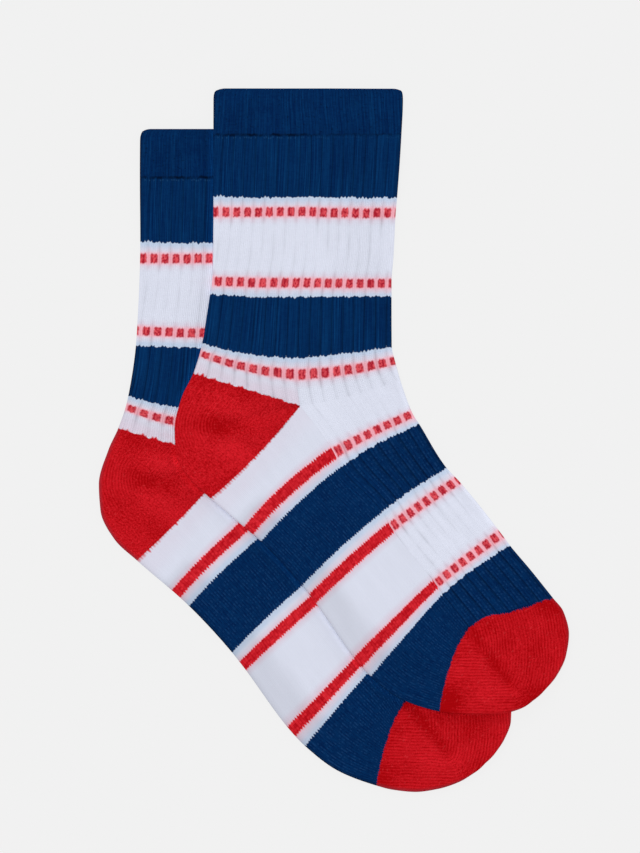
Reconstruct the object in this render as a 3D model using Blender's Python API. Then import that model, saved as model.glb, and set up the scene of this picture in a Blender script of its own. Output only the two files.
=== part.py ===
"""A pair of ribbed crew socks laid flat, the front sock over the back one.

Frame: +Z is up from the surface that the pair lies on, +Y runs up the legs to the cuffs and +X to the
toes' side. The origin is the middle of the pair's footprint, on the surface.
Every table and named size is in millimetres.
"""

import math
from collections import namedtuple

import bmesh
import bpy
import numpy as np

MM = 0.001

# The cloth
WALL = 1.5  # knitted wall, terry on its inner side
WELT_WALL = 1.7  # the turned edge is knitted double
INNER_SPACE = 0.4  # left between the two walls of a sock that lies flat
RIBS = 17  # across the leg's upper face
RIB_RISE = 0.45  # of a rib above its grooves
GROOVE_SHARE = 0.18  # half a groove's width, as a share of a rib
SIDE_GROOVE = 9  # the groove down the ankle's side, where the sole's plain knit begins

# How the pieces and the two socks meet
SEAM_SPACE = 0.3
LAYER_SPACE = 0.3
HEEL_POINT = 1.2  # the heel's pointed end stops this far short of the side line
EASE_START = 1.5  # past the back sock's edge the front sock begins to come down
EASE_LENGTH = 28.0  # and it lies on the surface this much further on

# Points round a section
FOLD_ANGLES = (45.0, 0.0, -45.0)  # degrees above level, round a folded edge
PLAIN_STATIONS = 8  # across a plain face
INNER_STATIONS = 7  # across each face of the inner space
SAME_PLACE = 0.01  # outline points nearer together than this are one point
SHARP_ANGLE = 40.0  # degrees between faces that meet in an edge and not in a curve

NAVY = (0.004, 0.025, 0.100, 1.0)
WHITE = (0.700, 0.730, 0.830, 1.0)
RED = (0.560, 0.010, 0.018, 1.0)
YARNS = {"navy": NAVY, "white": WHITE, "red": RED}

# A section is one course of the knitting, seen from above. back is its place on the fold down the back of
# the leg, round the heel and along the sole. side is on the line down the ankle's side. front is on the
# fold down the shin and along the instep. The bows are how far the two halves of the course curve
# towards the toe. steps is how many rows of faces reach the next section, knitted in this yarn.
Section = namedtuple(
    "Section",
    "name steps yarn back_x back_y side_x side_y front_x front_y back_bow front_bow",
)

FRONT_SOCK = (
    Section("mouth", 1, "navy", -50.8, 159.25, -11.0, 159.25, 28.1, 159.25, 0.0, 0.0),
    Section("lip", 1, "navy", -53.9, 157.9, -11.5, 158.0, 30.8, 158.1, 0.0, 0.0),
    Section("cuff", 3, "navy", -54.5, 155.0, -11.5, 155.0, 31.3, 155.0, 0.0, 0.0),
    Section("welt_end", 2, "navy", -54.5, 138.0, -11.5, 138.0, 30.6, 138.5, 0.0, 0.0),
    Section("band_1_end", 4, "white", -54.5, 110.1, -12.0, 109.7, 28.6, 109.7, 0.4, 0.1),
    Section("band_2", 2, "navy", -56.0, 66.2, -14.5, 64.8, 26.1, 65.2, 0.5, -0.1),
    Section("band_2_end", 3, "white", -59.6, 43.6, -15.0, 37.0, 26.2, 42.3, 1.5, 0.6),
    Section("ankle", 2, "red", -63.6, 30.3, -15.3, 15.6, 30.0, 27.5, -0.3, 1.3),
    Section("heel_1", 2, "red", -69.0, 19.0, -15.3, 15.6, 30.0, 27.5, -0.4, 1.3),
    Section("heel_2", 2, "red", -72.0, 5.0, -15.3, 15.6, 30.0, 27.5, 0.0, 1.3),
    Section("heel_3", 2, "red", -71.5, -5.5, -15.3, 15.6, 30.0, 27.5, 0.3, 1.3),
    Section("heel_4", 2, "red", -66.0, -16.5, -15.3, 15.6, 30.0, 27.5, 0.7, 1.3),
    Section("heel_end", 3, "white", -55.7, -26.3, -15.3, 15.6, 30.0, 27.5, 1.5, 1.3),
    Section("line_4", 1, "white", -38.9, -40.6, -0.5, -6.0, 35.7, 12.0, -2.0, -0.8),
    Section("band_3", 2, "navy", -33.1, -45.5, 2.9, -11.9, 38.6, 7.5, -1.2, -1.1),
    Section("band_3_end", 4, "white", -14.3, -65.6, 21.8, -32.4, 51.3, -12.8, -0.9, -0.8),
    Section("line_6", 1, "white", 10.7, -100.2, 44.7, -65.7, 75.85, -42.3, -0.2, -0.3),
    Section("band_4", 2, "navy", 16.5, -106.5, 48.0, -70.0, 79.7, -47.5, -0.3, -0.9),
    Section("band_4_mid", 2, "navy", 31.5, -117.5, 54.5, -77.5, 89.2, -58.8, -1.2, -1.1),
    Section("toe_edge", 2, "red", 47.8, -122.6, 60.6, -84.0, 99.5, -71.7, -2.2, -1.3),
    Section("toe_1", 3, "red", 52.5, -123.4, 67.0, -94.0, 103.9, -77.3, -1.8, -1.0),
    Section("toe_2", 3, "red", 60.5, -123.9, 73.5, -102.0, 106.5, -87.5, -1.0, -0.8),
    Section("toe_3", 2, "red", 70.5, -123.9, 80.0, -108.5, 105.1, -97.7, -0.6, -0.5),
    Section("toe_4", 2, "red", 78.5, -123.1, 86.2, -113.2, 100.6, -107.0, -0.3, -0.3),
    Section("toe_tip", 0, "red", 84.9, -121.2, 90.0, -117.7, 95.1, -113.4, 0.2, 0.2),
)

BACK_SOCK = (
    Section("mouth", 1, "navy", -84.3, 141.0, -44.5, 141.0, -6.0, 141.0, 0.0, 0.0),
    Section("lip", 1, "navy", -86.8, 139.9, -44.5, 139.9, -3.5, 139.5, 0.0, 0.0),
    Section("cuff", 2, "navy", -87.8, 136.5, -44.5, 136.5, -2.5, 136.5, 0.0, 0.0),
    Section("welt_end", 2, "navy", -87.9, 119.0, -44.5, 119.0, -2.5, 119.5, 0.0, 0.0),
    Section("band_1_end", 3, "white", -87.7, 89.5, -45.5, 89.1, -5.0, 89.3, 0.4, 0.0),
    Section("band_2", 2, "navy", -89.7, 43.0, -48.0, 41.4, -7.5, 42.0, 0.0, 0.0),
    Section("band_2_end", 3, "white", -93.2, 19.8, -48.0, 13.0, -7.0, 19.5, 1.6, 0.6),
    Section("ankle", 2, "red", -97.6, 5.7, -45.8, -8.9, -2.5, 4.5, 0.4, 1.3),
    Section("heel_1", 2, "red", -102.2, -4.4, -45.8, -8.9, -2.5, 4.5, -0.2, 1.3),
    Section("heel_2", 2, "red", -106.5, -20.0, -45.8, -8.9, -2.5, 4.5, 0.0, 1.3),
    Section("heel_3", 2, "red", -105.7, -32.0, -45.8, -8.9, -2.5, 4.5, 0.3, 1.3),
    Section("heel_4", 2, "red", -99.4, -44.8, -45.8, -8.9, -2.5, 4.5, 0.7, 1.3),
    Section("heel_end", 3, "white", -89.2, -54.4, -45.8, -8.9, -2.5, 4.5, 1.3, 1.3),
    Section("line_4", 1, "white", -71.7, -69.4, -30.5, -31.0, 4.0, -11.5, -1.5, -0.7),
    Section("band_3", 2, "navy", -65.7, -74.9, -26.2, -37.9, 7.5, -16.5, -1.4, -0.6),
    Section("band_3_end", 4, "white", -46.1, -96.1, -7.7, -60.4, 20.7, -39.9, -1.0, -1.2),
    Section("line_6", 1, "white", -19.5, -131.7, 17.0, -93.0, 48.5, -70.0, 0.5, 0.0),
    Section("band_4", 2, "navy", -13.3, -138.2, 21.4, -97.9, 52.0, -75.5, -0.1, -1.1),
    Section("band_4_mid", 2, "navy", 2.3, -149.9, 28.0, -106.5, 62.0, -88.0, -1.2, -1.1),
    Section("toe_edge", 2, "red", 19.4, -156.4, 32.6, -116.5, 71.1, -104.1, -2.2, -1.2),
    Section("toe_1", 3, "red", 26.4, -158.2, 40.5, -126.5, 77.5, -109.0, -1.8, -1.0),
    Section("toe_2", 3, "red", 37.0, -159.25, 47.0, -135.5, 80.5, -118.0, -1.0, -0.8),
    Section("toe_3", 2, "red", 47.1, -157.9, 54.0, -141.5, 80.2, -127.0, -0.6, -0.5),
    Section("toe_4", 2, "red", 56.8, -154.7, 61.7, -146.2, 77.1, -135.6, -0.3, -0.3),
    Section("toe_tip", 0, "red", 64.1, -150.3, 68.6, -146.2, 73.3, -141.4, 0.2, 0.2),
)

# The knitted parts, each from its first section to its last. grooves are the first and last rib grooves on
# its upper face, of those counted from the back fold. closed says how a part departs from an open tube.
Piece = namedtuple("Piece", "name first last wall grooves closed")

PIECES = (
    Piece("welt", "mouth", "welt_end", WELT_WALL, None, ""),
    Piece("leg", "welt_end", "ankle", WALL, (1, RIBS), ""),
    Piece("heel", "ankle", "heel_end", WALL, None, "pocket"),
    Piece("foot", "heel_end", "toe_edge", WALL, (SIDE_GROOVE, RIBS), ""),
    Piece("toe", "toe_edge", "toe_tip", WALL, None, "tip"),
)


def shape_keeping_slopes(knots, values):
    """Slopes at the knots for a cubic that never runs past its own values."""
    steps = np.diff(knots)[:, None]
    secants = np.diff(values, axis=0) / steps
    before, after = secants[:-1], secants[1:]
    turning = before * after <= 0
    weight_before = 2 * steps[1:] + steps[:-1]
    weight_after = steps[1:] + 2 * steps[:-1]
    safe_before = np.where(turning, 1.0, before)
    safe_after = np.where(turning, 1.0, after)
    mean = (weight_before + weight_after) / (weight_before / safe_before + weight_after / safe_after)
    slopes = np.empty_like(values)
    slopes[0], slopes[-1] = secants[0], secants[-1]
    slopes[1:-1] = np.where(turning, 0.0, mean)
    return slopes


class Lay:
    """Where a sock's courses lie, seen from above, read at any place down the sock."""

    def __init__(self, sections):
        self.sections = sections
        self.values = np.array([section[3:] for section in sections], dtype=float)
        along_back = np.diff(self.values[:, :2], axis=0)
        self.knots = np.concatenate(([0.0], np.cumsum(np.hypot(*along_back.T))))
        self.slopes = shape_keeping_slopes(self.knots, self.values)

    def index(self, name):
        return [section.name for section in self.sections].index(name)

    def at(self, place):
        """The section's numbers at a place, in millimetres down the back fold."""
        last = len(self.knots) - 2
        i = int(np.clip(np.searchsorted(self.knots, place, side="right") - 1, 0, last))
        span = self.knots[i + 1] - self.knots[i]
        x = (place - self.knots[i]) / span
        start = (1 + 2 * x) * (1 - x) ** 2 * self.values[i] + x * (1 - x) ** 2 * span * self.slopes[i]
        end = x * x * (3 - 2 * x) * self.values[i + 1] + x * x * (x - 1) * span * self.slopes[i + 1]
        return start + end

    def rows(self, first, last):
        """(place, yarn) for each row of points from one named section to another."""
        rows = []
        for i in range(self.index(first), self.index(last)):
            section = self.sections[i]
            for step in range(section.steps):
                share = step / section.steps
                rows.append((self.knots[i] + share * (self.knots[i + 1] - self.knots[i]), section.yarn))
        rows.append((self.knots[self.index(last)], self.sections[self.index(last)].yarn))
        return rows

    def outline(self):
        """The sock's outline from above, down its back fold and up its front one."""
        places = [place for place, _ in self.rows(self.sections[0].name, self.sections[-1].name)]
        read = np.array([self.at(place) for place in places])
        points = np.concatenate((read[:, 0:2], read[::-1, 4:6]))
        moved = np.hypot(*(points - np.roll(points, 1, axis=0)).T) > SAME_PLACE
        return points[moved]


class Course:
    """One row of the knitting from above. A share of 0 is the back fold, 0.5 the side, 1 the front fold."""

    def __init__(self, numbers, shift):
        self.back, self.side, self.front = numbers[0:2], numbers[2:4], numbers[4:6]
        self.bows = numbers[6:8]
        self.shift = shift
        self.back_length = float(np.hypot(*(self.side - self.back)))
        self.front_length = float(np.hypot(*(self.front - self.side)))

    def share_from_back(self, distance):
        return 0.5 * distance / self.back_length

    def share_from_front(self, distance):
        return 1.0 - 0.5 * distance / self.front_length

    def places(self, shares):
        """X and Y at the shares, moved down the sock by the shift."""
        shares = np.asarray(shares)[:, None]
        half = np.where(shares <= 0.5, 2 * shares, 2 * shares - 1)
        start = np.where(shares <= 0.5, self.back, self.side)
        end = np.where(shares <= 0.5, self.side, self.front)
        bow = np.where(shares <= 0.5, self.bows[0], self.bows[1])
        run = end - start
        down = np.stack((run[:, 1], -run[:, 0]), axis=1) / np.hypot(run[:, 0], run[:, 1])[:, None]
        places = start + run * half + down * 4 * bow * half * (1 - half)
        heading = run + down * 4 * bow * (1 - 2 * half)
        across = np.stack((heading[:, 1], -heading[:, 0]), axis=1)
        return places + self.shift * across / np.hypot(across[:, 0], across[:, 1])[:, None]


def plain_shares(low, high, count):
    """Shares spread evenly between two ends, which are left out, from high to low."""
    return list(np.linspace(high, low, count + 2)[1:-1])


def rib_shares(grooves):
    """[(share, rise)] of the rib grooves and shoulders, from the front fold to the back one."""
    first, last = grooves
    found = []
    for groove in range(last, first - 1, -1):
        centre = (groove - 0.5) / RIBS
        shoulder = GROOVE_SHARE / RIBS
        if groove != RIBS:
            found.append((centre + shoulder, RIB_RISE))
        found.append((centre, 0.0))
        if groove != first:
            found.append((centre - shoulder, RIB_RISE))
    return found


def outer_path(course, piece):
    """[(share, height)] over the upper face to the back fold, and back under the lower face."""
    radius = piece.wall + INNER_SPACE / 2
    inset = {angle: radius - radius * math.cos(math.radians(angle)) for angle in FOLD_ANGLES}
    rise = {angle: radius + radius * math.sin(math.radians(angle)) for angle in FOLD_ANGLES}
    back_end = course.share_from_back(radius)
    if piece.closed == "pocket":
        front_end = 0.5 - course.share_from_back(HEEL_POINT)
        path = [(front_end, 2 * radius)]
    else:
        front_end = course.share_from_front(radius)
        path = [(course.share_from_front(inset[a]), rise[a]) for a in reversed(FOLD_ANGLES) if a >= 0]
        path.append((front_end, 2 * radius))
    if piece.grooves:
        ribs = rib_shares(piece.grooves)
        path += [(share, 2 * radius + raised) for share, raised in ribs]
        plain_from = ribs[-1][0]
    else:
        plain_from = front_end
    if not piece.grooves or piece.grooves[0] == SIDE_GROOVE:
        path += [(share, 2 * radius) for share in plain_shares(back_end, plain_from, PLAIN_STATIONS)]
    path.append((back_end, 2 * radius))
    path += [(course.share_from_back(inset[a]), rise[a]) for a in FOLD_ANGLES]
    path.append((back_end, 0.0))
    path += [(share, 0.0) for share in reversed(plain_shares(back_end, front_end, PLAIN_STATIONS))]
    path.append((front_end, 0.0))
    if piece.closed != "pocket":
        path += [(course.share_from_front(inset[a]), rise[a]) for a in reversed(FOLD_ANGLES) if a < 0]
    return path


def inner_path(course, piece):
    """[(share, height)] round the space inside the sock, in the same direction as outer_path."""
    back_end = course.share_from_back(piece.wall)
    middle = piece.wall + INNER_SPACE / 2
    if piece.closed == "pocket":
        front_end = 0.5 - course.share_from_back(HEEL_POINT)
    else:
        front_end = course.share_from_front(piece.wall)
    over = plain_shares(back_end, front_end, INNER_STATIONS)
    upper = [(share, piece.wall + INNER_SPACE) for share in over]
    lower = [(share, piece.wall) for share in reversed(over)]
    if piece.closed == "pocket":
        upper.insert(0, (front_end, piece.wall + INNER_SPACE))
        lower.append((front_end, piece.wall))
    else:
        upper.insert(0, (front_end, middle))
    return upper + [(back_end, middle)] + lower


def outside_by(places, outline):
    """How far each place lies outside a closed outline, less than 0 inside it."""
    start = outline
    end = np.roll(outline, -1, axis=0)
    edge = end - start
    offset = places[:, None] - start
    along = np.clip((offset * edge).sum(axis=2) / (edge**2).sum(axis=1), 0.0, 1.0)
    gap = np.sqrt(((offset - along[..., None] * edge) ** 2).sum(axis=2)).min(axis=1)
    straddles = (start[:, 1] > places[:, 1:2]) != (end[:, 1] > places[:, 1:2])
    rise = np.where(edge[:, 1] == 0, 1.0, edge[:, 1])
    crossing = start[:, 0] + (places[:, 1:2] - start[:, 1]) / rise * edge[:, 0]
    inside = (straddles & (places[:, 0:1] < crossing)).sum(axis=1) % 2 == 1
    return np.where(inside, -gap, gap)


def flat(places):
    """Heights under a sock that lies on the surface."""
    return np.zeros(len(places))


def over(outline):
    """The heights under a sock that lies over another, whose outline this is."""
    top = 2 * WALL + INNER_SPACE + RIB_RISE + LAYER_SPACE

    def heights(places):
        down = np.clip((outside_by(places, outline) - EASE_START) / EASE_LENGTH, 0.0, 1.0)
        return top * (1 - down * down * (3 - 2 * down))

    return heights


def points_of(course, path, under):
    """The path's points in space."""
    shares, heights = np.array(path).T
    places = course.places(shares)
    return np.column_stack((places, under(places) + heights))


def fill_between(one, other, one_shares, other_shares):
    """Triangles between two runs of points, each step taken along the run that is behind."""
    faces = []
    i = j = 0
    while i < len(one) - 1 or j < len(other) - 1:
        step_one = i < len(one) - 1
        if step_one and j < len(other) - 1:
            step_one = one_shares[i + 1] <= other_shares[j + 1]
        if step_one:
            faces.append((one[i], one[i + 1], other[j]))
            i += 1
        else:
            faces.append((one[i], other[j + 1], other[j]))
            j += 1
    return faces


def way_round(path, closed):
    """How far round the section each point lies, over the back fold at 0.5 and up to 1.

    A closed ring ends at its first point again, further round than any other.
    """
    shares = np.array([share for share, _ in path])
    turn = int(np.argmin(shares))
    reach = shares.max()
    way = 0.5 * (1 - shares / reach)
    way[turn + 1 :] = 0.5 + 0.5 * shares[turn + 1 :] / reach
    return list(way) + [2.0] if closed else list(way)


def skin(rows, closed):
    """Faces between neighbouring rows of point numbers, with the number of the row they start at."""
    faces = []
    for number, (upper, lower) in enumerate(zip(rows[:-1], rows[1:])):
        count = len(upper)
        for i in range(count if closed else count - 1):
            k = (i + 1) % count
            faces.append(((upper[i], upper[k], lower[k], lower[i]), number))
    return faces


def fold_shut(ring):
    """Faces across a flattened ring, between its upper and lower runs."""
    faces = []
    low, high = 0, len(ring) - 1
    while high - low > 1:
        faces.append((ring[low], ring[low + 1], ring[high]))
        low += 1
        if high - low > 1:
            faces.append((ring[low], ring[high - 1], ring[high]))
            high -= 1
    return faces


def piece_faces(outer, inner, piece, outer_ways, inner_ways):
    """(face, row) for every face of one knitted part, from its rows of point numbers."""
    tube = piece.closed != "pocket"
    last = len(outer) - 1
    faces = skin(outer, tube) + skin(inner, tube)

    def end_face(row):
        one = outer[row] + outer[row][:1] if tube else outer[row]
        other = inner[row] + inner[row][:1] if tube else inner[row]
        return [(face, row) for face in fill_between(one, other, outer_ways[row], inner_ways[row])]

    faces += end_face(0)
    if piece.closed == "tip":
        faces += [(face, last) for face in fold_shut(outer[-1]) + fold_shut(inner[-1])]
    else:
        faces += end_face(last)
    if piece.closed == "pocket":
        for end in (0, -1):
            edges = [[out[end], within[end]] for out, within in zip(outer, inner)]
            faces += skin(edges, False)
    return faces


def build_piece(sock, lay, piece, under, materials, collection):
    """One knitted part as a closed solid."""
    rows = lay.rows(piece.first, piece.last)
    points, outer, inner, outer_ways, inner_ways = [], [], [], [], []
    for number, (place, _) in enumerate(rows):
        shift = 0.0
        if number == 0 and piece.first != "mouth":
            shift = SEAM_SPACE / 2
        if number == len(rows) - 1 and piece.closed != "tip":
            shift = -SEAM_SPACE / 2
        course = Course(lay.at(place), shift)
        paths = [(outer_path(course, piece), outer, outer_ways)]
        if piece.closed != "tip" or number < len(rows) - 2:
            paths.append((inner_path(course, piece), inner, inner_ways))
        for path, into, ways in paths:
            into.append(list(range(len(points), len(points) + len(path))))
            ways.append(way_round(path, piece.closed != "pocket"))
            points.extend(points_of(course, path, under))

    name = f"{sock}_{piece.name}"
    mesh = bpy.data.meshes.new(name)
    shape = bmesh.new()
    verts = [shape.verts.new(point * MM) for point in points]
    yarns = sorted({yarn for _, yarn in rows[:-1]})
    for numbers, row in piece_faces(outer, inner, piece, outer_ways, inner_ways):
        face = shape.faces.new([verts[number] for number in numbers])
        face.smooth = True
        face.material_index = yarns.index(rows[min(row, len(rows) - 2)][1])
    bmesh.ops.recalc_face_normals(shape, faces=shape.faces)
    shape.to_mesh(mesh)
    shape.free()
    for yarn in yarns:
        mesh.materials.append(materials[yarn])
    mesh.set_sharp_from_angle(angle=math.radians(SHARP_ANGLE))
    collection.objects.link(bpy.data.objects.new(name, mesh))


def yarn_material(name, colour):
    material = bpy.data.materials.new(f"{name}_cotton")
    material.use_nodes = True
    shader = material.node_tree.nodes["Principled BSDF"]
    shader.inputs["Base Color"].default_value = colour
    shader.inputs["Roughness"].default_value = 0.9
    shader.inputs["Metallic"].default_value = 0.0
    material.diffuse_color = colour
    return material


def main():
    for old in list(bpy.data.objects):
        bpy.data.objects.remove(old)
    collection = bpy.data.collections.new("crew_socks_pair")
    bpy.context.scene.collection.children.link(collection)
    materials = {name: yarn_material(name, colour) for name, colour in YARNS.items()}
    back = Lay(BACK_SOCK)
    front = Lay(FRONT_SOCK)
    for piece in PIECES:
        build_piece("back", back, piece, flat, materials, collection)
    for piece in PIECES:
        build_piece("front", front, piece, over(back.outline()), materials, collection)


main()
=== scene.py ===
"""A pair of ribbed crew socks laid flat, the front sock over the back one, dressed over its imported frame.

Frame: +Z is up from the surface, +Y up the legs to the cuffs and +X to the toes' side, in metres. The
tables and the named sizes are in millimetres, and become metres where the meshes are made.
"""

import functools
import math
from collections import namedtuple

import bmesh
import bpy
import numpy as np
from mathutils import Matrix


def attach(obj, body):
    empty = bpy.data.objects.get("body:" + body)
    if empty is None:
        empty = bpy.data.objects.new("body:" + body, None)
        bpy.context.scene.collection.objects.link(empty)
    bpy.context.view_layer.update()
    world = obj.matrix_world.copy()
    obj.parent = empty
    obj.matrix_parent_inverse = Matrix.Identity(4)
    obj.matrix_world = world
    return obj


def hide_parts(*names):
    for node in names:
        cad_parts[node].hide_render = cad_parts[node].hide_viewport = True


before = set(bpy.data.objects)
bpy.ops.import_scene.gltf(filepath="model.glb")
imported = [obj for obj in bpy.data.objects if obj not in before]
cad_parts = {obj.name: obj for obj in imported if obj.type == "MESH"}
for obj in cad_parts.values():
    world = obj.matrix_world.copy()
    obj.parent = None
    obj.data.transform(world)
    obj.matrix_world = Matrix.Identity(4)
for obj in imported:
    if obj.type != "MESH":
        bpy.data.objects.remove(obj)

MM = 0.001

# The cloth, as the solids have it
WALL = 1.5
WELT_WALL = 1.7
INNER_SPACE = 0.4
LAYER_SPACE = 0.3
SOLID_RIB_RISE = 0.45
EASE_START = 1.5
EASE_LENGTH = 28.0
HALF_TUBE = WALL + INNER_SPACE / 2
HALF_WELT = WELT_WALL + INNER_SPACE / 2

# The knit. A wale is one column of stitches and a course one row of them.
WALES_PER_RIB = 5  # in the plain sole, whose rib count runs on from the instep's
WALES_ON_RIB = 3  # that show on each rib
WALES_IN_WELT = 3.5  # for each rib below
SIDE_RIB = 9.0  # the groove down the ankle's side, where the sole's plain knit begins
BACK_RIB = 1.0  # the rib count at the sole's fold
COURSE = 0.78
POCKET_WALE = 1.35
RIB_RISE = 0.30
GROOVE_WIDTH = 0.11  # of a rib groove, as a share of a rib

# How far the stitches' points reach over the edge of a colour, and how unevenly
PLAIN_TEETH, PLAIN_UNEVEN = 0.58, 0.32
RIB_TEETH, RIB_UNEVEN = 0.50, 0.60

ROW_STEP = 1.3
OUTLINE_STEP = 1.6
TOP_STATIONS = 100  # across each half of an upper face
UNDER_STATIONS = 30  # across each half of a lower face
ARC_STEPS = 6  # round each fold, from its top to its middle
BATCH = 4000  # places that are compared with an outline at a time
FAR = 99.0  # millimetres, where an edge is too far away to count

# The trough along a pocket's gore, and the soft ridge beside it
TROUGH_DEPTH, TROUGH_WIDTH = 0.55, 2.6
RIDGE_HEIGHT, RIDGE_PLACE, RIDGE_WIDTH = 0.25, 6.5, 4.0
# How uneven the laid cloth of each sock is
FRONT_UNEVEN, BACK_UNEVEN = 0.22, 0.10

# A line is one course seen from above: its places on the back fold, on the side line and on the front
# fold, how far its two halves bow towards the toe, and the rib counts at the two folds.
Line = namedtuple(
    "Line",
    "name back_x back_y side_x side_y front_x front_y back_bow front_bow back_rib front_rib",
    defaults=(1.0, 17.3),
)
# Where a line's numbers stand, once its name is taken off
BACK, SIDE, FRONT = slice(0, 2), slice(2, 4), slice(4, 6)
BACK_BOW, FRONT_BOW, BACK_RIBS, FRONT_RIBS = (slice(column, column + 1) for column in range(6, 10))
# Where the ankle's line meets the side line and the front fold: the heel's courses all turn there
FRONT_ANKLE = (-15.3, 15.6, 30.0, 27.5)
BACK_ANKLE = (-45.8, -8.9, -2.5, 4.5)

FRONT_SOCK = (
    Line("mouth", -50.8, 159.25, -11.0, 159.25, 28.1, 159.25, 0.0, 0.0, -0.3, 17.45),
    Line("lip", -53.9, 157.9, -11.5, 158.0, 30.8, 158.1, 0.0, 0.0, -0.3, 17.45),
    Line("cuff", -54.5, 155.0, -11.5, 155.0, 31.3, 155.0, 0.0, 0.0, -0.3, 17.45),
    Line("welt_end", -54.5, 138.0, -10.1, 138.0, 30.6, 138.5, 0.0, 0.0, 0.05, 17.2),
    Line("band_1_end", -54.5, 110.1, -11.2, 109.7, 28.6, 109.7, 0.4, 0.1, 0.33, 17.22),
    Line("line_1", -54.5, 103.1, -11.9, 103.3, 28.0, 103.2, 0.0, 0.5, 0.32, 17.25),
    Line("leg_mid", -54.7, 84.0, -12.6, 83.7, 27.0, 83.5, 0.1, 0.3, 0.62, 17.3),
    Line("line_2", -55.0, 72.0, -14.5, 71.2, 26.1, 71.0, 0.3, 0.2, 0.94, 17.45),
    Line("band_2", -56.0, 66.2, -15.2, 64.8, 26.1, 65.2, 0.5, -0.1, 0.78, 17.45),
    Line("band_2_end", -59.6, 43.6, -16.3, 37.0, 26.2, 42.3, 1.5, 0.6, 0.76, 17.5),
    Line("line_3", -60.65, 39.4, -17.0, 29.9, 27.6, 36.2, 1.7, 1.4, 1.0, 17.6),
    Line("ankle", -63.6, 30.3, *FRONT_ANKLE, -0.3, 1.3),
    Line("heel_1", -69.0, 19.0, *FRONT_ANKLE, -0.4, 1.3),
    Line("heel_2", -72.0, 5.0, *FRONT_ANKLE, 0.0, 1.3),
    Line("heel_3", -71.5, -5.5, *FRONT_ANKLE, 0.3, 1.3),
    Line("heel_4", -66.0, -16.5, *FRONT_ANKLE, 0.7, 1.3),
    Line("heel_end", -55.7, -26.3, *FRONT_ANKLE, 1.5, 1.3),
    Line("line_4", -38.9, -40.6, 0.1, -5.7, 35.7, 12.0, -2.0, -0.8, 1.0, 17.0),
    Line("band_3", -33.1, -45.5, 2.9, -11.9, 38.6, 7.5, -1.2, -1.1, 1.0, 17.2),
    Line("band_3_end", -14.3, -65.6, 21.8, -32.4, 51.3, -12.8, -0.9, -0.8, 1.0, 17.2),
    Line("line_5", -9.65, -71.5, 25.8, -39.3, 56.3, -18.0, -0.5, -0.5, 1.0, 17.4),
    Line("line_6", 10.7, -100.2, 45.9, -64.8, 75.85, -42.3, -0.2, -0.3),
    Line("band_4", 16.5, -106.5, 49.0, -69.3, 79.7, -47.5, -0.3, -0.9),
    Line("band_4_mid", 31.5, -117.5, 55.2, -77.1, 89.2, -58.8, -1.2, -1.1),
    Line("toe_edge", 47.8, -122.6, 60.6, -84.0, 99.5, -71.7, -2.2, -1.3),
    Line("toe_1", 52.5, -123.4, 67.0, -94.0, 103.9, -77.3, -1.8, -1.0),
    Line("toe_2", 60.5, -123.9, 73.5, -102.0, 106.5, -87.5, -1.0, -0.8),
    Line("toe_3", 70.5, -123.9, 80.0, -108.5, 105.1, -97.7, -0.6, -0.5),
    Line("toe_4", 78.5, -123.1, 86.2, -113.2, 100.6, -107.0, -0.3, -0.3),
    Line("toe_tip", 84.9, -121.2, 90.0, -117.7, 95.1, -113.4, 0.2, 0.2),
)

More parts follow.
